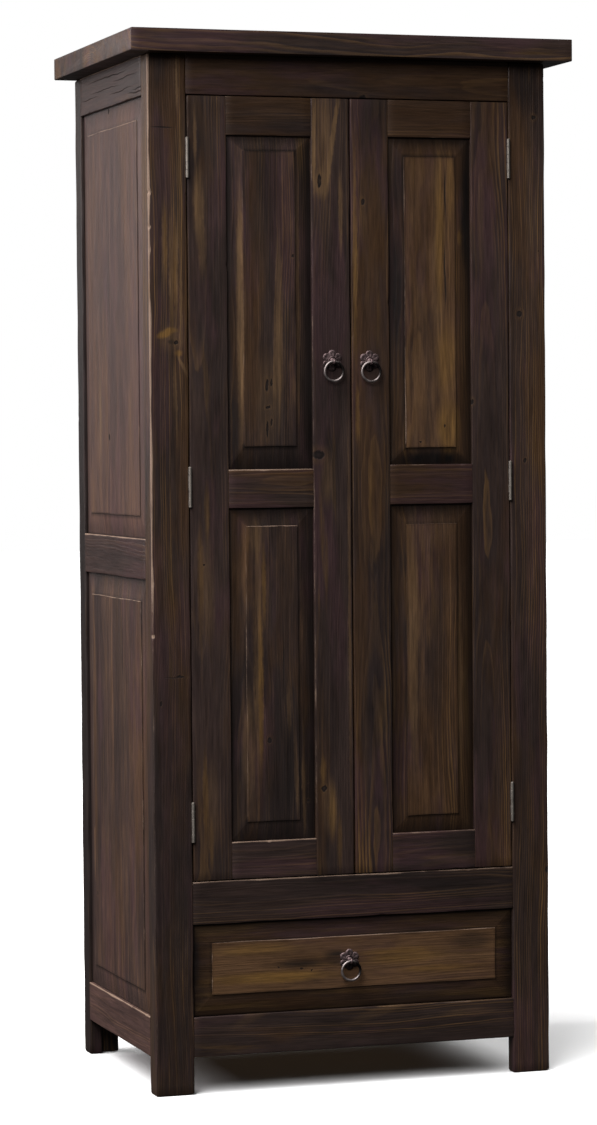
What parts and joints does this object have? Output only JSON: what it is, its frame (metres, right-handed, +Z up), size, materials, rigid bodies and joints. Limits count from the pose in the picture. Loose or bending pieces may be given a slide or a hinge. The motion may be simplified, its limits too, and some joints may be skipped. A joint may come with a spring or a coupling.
{
  "type": "armoire",
  "caption": "Tall pine armoire with two hinged raised-panel doors over a drawer, plain square legs, an overhanging top board and ring pulls on flower rosettes.",
  "frame": {"origin": "on the floor, under the middle of the top board", "axes": "+X to the right seen from the front, +Y towards the back, +Z up; the doors face -Y"},
  "size_m": [0.872, 0.573, 1.98],
  "materials": {
    "frame_pine": "dark walnut stain, waxed, worn arrises",
    "panel_pine": "dark stain worn to golden brown on the raised fields",
    "top_pine": "dark walnut stain, waxed",
    "interior_pine": "bare aged pine",
    "hinge_steel": "dull bright steel",
    "pull_bronze": "antiqued dark bronze",
    "rod_steel": "satin"
  },
  "bodies": {
    "carcass": {"top_board": "top_pine", "upper_front_rail": "frame_pine", "middle_front_rail": "frame_pine", "lower_front_rail": "frame_pine", "back_panel": "interior_pine", "cabinet_floor": "interior_pine", "hanging_rod": "rod_steel", "left_front_post": "frame_pine", "left_rear_post": "frame_pine", "left_side_lower_rail": "frame_pine", "left_side_middle_rail": "frame_pine", "left_side_upper_rail": "frame_pine", "left_side_lower_panel": "panel_pine", "left_side_upper_panel": "panel_pine", "left_drawer_runner": "interior_pine", "left_bottom_hinge_frame_leaf": "hinge_steel", "left_middle_hinge_frame_leaf": "hinge_steel", "left_top_hinge_frame_leaf": "hinge_steel", "right_front_post": "frame_pine", "right_rear_post": "frame_pine", "right_side_lower_rail": "frame_pine", "right_side_middle_rail": "frame_pine", "right_side_upper_rail": "frame_pine", "right_side_lower_panel": "panel_pine", "right_side_upper_panel": "panel_pine", "right_drawer_runner": "interior_pine", "right_bottom_hinge_frame_leaf": "hinge_steel", "right_middle_hinge_frame_leaf": "hinge_steel", "right_top_hinge_frame_leaf": "hinge_steel"},
    "left_door": {"left_door_hinge_stile": "frame_pine", "left_door_meeting_stile": "frame_pine", "left_door_bottom_rail": "frame_pine", "left_door_middle_rail": "frame_pine", "left_door_top_rail": "frame_pine", "left_door_lower_panel": "panel_pine", "left_door_upper_panel": "panel_pine", "left_door_pull_rosette": "pull_bronze", "left_bottom_hinge_door_leaf": "hinge_steel", "left_middle_hinge_door_leaf": "hinge_steel", "left_top_hinge_door_leaf": "hinge_steel"},
    "left_door_ring": {"left_door_pull_ring": "pull_bronze"},
    "right_door": {"right_door_hinge_stile": "frame_pine", "right_door_meeting_stile": "frame_pine", "right_door_bottom_rail": "frame_pine", "right_door_middle_rail": "frame_pine", "right_door_top_rail": "frame_pine", "right_door_lower_panel": "panel_pine", "right_door_upper_panel": "panel_pine", "right_door_pull_rosette": "pull_bronze", "right_bottom_hinge_door_leaf": "hinge_steel", "right_middle_hinge_door_leaf": "hinge_steel", "right_top_hinge_door_leaf": "hinge_steel"},
    "right_door_ring": {"right_door_pull_ring": "pull_bronze"},
    "drawer": {"drawer_front": "panel_pine", "drawer_left_side": "interior_pine", "drawer_right_side": "interior_pine", "drawer_back": "interior_pine", "drawer_bottom": "interior_pine", "drawer_pull_rosette": "pull_bronze"},
    "drawer_ring": {"drawer_pull_ring": "pull_bronze"}
  },
  "joints": [
    {"name": "left_door_hinge", "type": "hinge", "parent": "carcass", "child": "left_door", "pos_m": [-0.319, -0.2477, 1.136], "axis": [0, 0, -1], "range_deg": [0, 170]},
    {"name": "right_door_hinge", "type": "hinge", "parent": "carcass", "child": "right_door", "pos_m": [0.319, -0.2477, 1.141], "axis": [0, 0, 1], "range_deg": [0, 170]},
    {"name": "drawer_slide", "type": "slide", "parent": "carcass", "child": "drawer", "axis": [0, -1, 0], "range_m": [0, 0.36]},
    {"name": "left_door_ring_swing", "type": "hinge", "parent": "left_door", "child": "left_door_ring", "pos_m": [-0.038, -0.2555, 1.369], "axis": [-1, 0, 0], "range_deg": [0, 120]},
    {"name": "right_door_ring_swing", "type": "hinge", "parent": "right_door", "child": "right_door_ring", "pos_m": [0.036, -0.2555, 1.368], "axis": [-1, 0, 0], "range_deg": [0, 120]},
    {"name": "drawer_ring_swing", "type": "hinge", "parent": "drawer", "child": "drawer_ring", "pos_m": [-0.0125, -0.2535, 0.236], "axis": [-1, 0, 0], "range_deg": [0, 120]}
  ]
}
